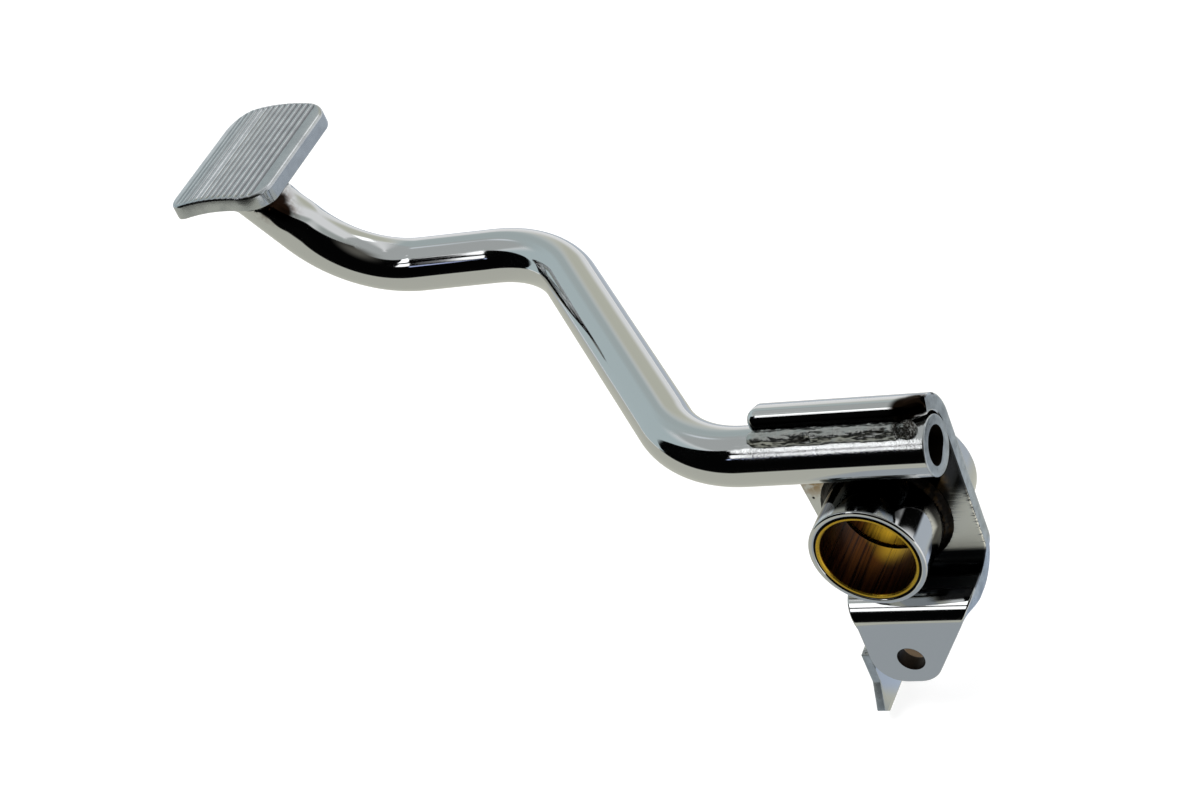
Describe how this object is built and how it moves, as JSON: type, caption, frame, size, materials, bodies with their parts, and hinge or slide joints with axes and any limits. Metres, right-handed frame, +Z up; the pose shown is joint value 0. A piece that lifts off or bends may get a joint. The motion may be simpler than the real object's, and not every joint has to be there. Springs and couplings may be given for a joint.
{
  "type": "rear brake pedal",
  "caption": "Welded, chromed motorbike rear brake pedal: bent tube arm with a ridged pad, bushed pivot boss, and a pressed bracket with a lever tab and a stop.",
  "frame": {"origin": "centre of the pivot bore, at the middle of its length", "axes": "+Y along the pivot axis towards the outer side of the bike, -X forward towards the pad, +Z up"},
  "size_m": [0.252, 0.127, 0.1381],
  "materials": {
    "chrome_plate": "polished steel under bright decorative chrome plate",
    "chrome_cast": "cast steel under satin chrome plate",
    "bronze": "turned bearing bronze with fine axial marks, darkened by oil",
    "weld_bead": "rough weld bead under thin, patchy plate"
  },
  "bodies": {
    "root": {"pivot_boss": "chrome_plate", "front_bush": "bronze", "rear_bush": "bronze", "pivot_bracket": "chrome_plate", "arm_tube": "chrome_plate", "pedal_pad": "chrome_cast", "stop_tab": "chrome_plate", "flange_weld": "weld_bead", "boss_weld": "weld_bead", "pad_weld": "weld_bead", "stop_weld": "weld_bead"}
  },
  "joints": []
}
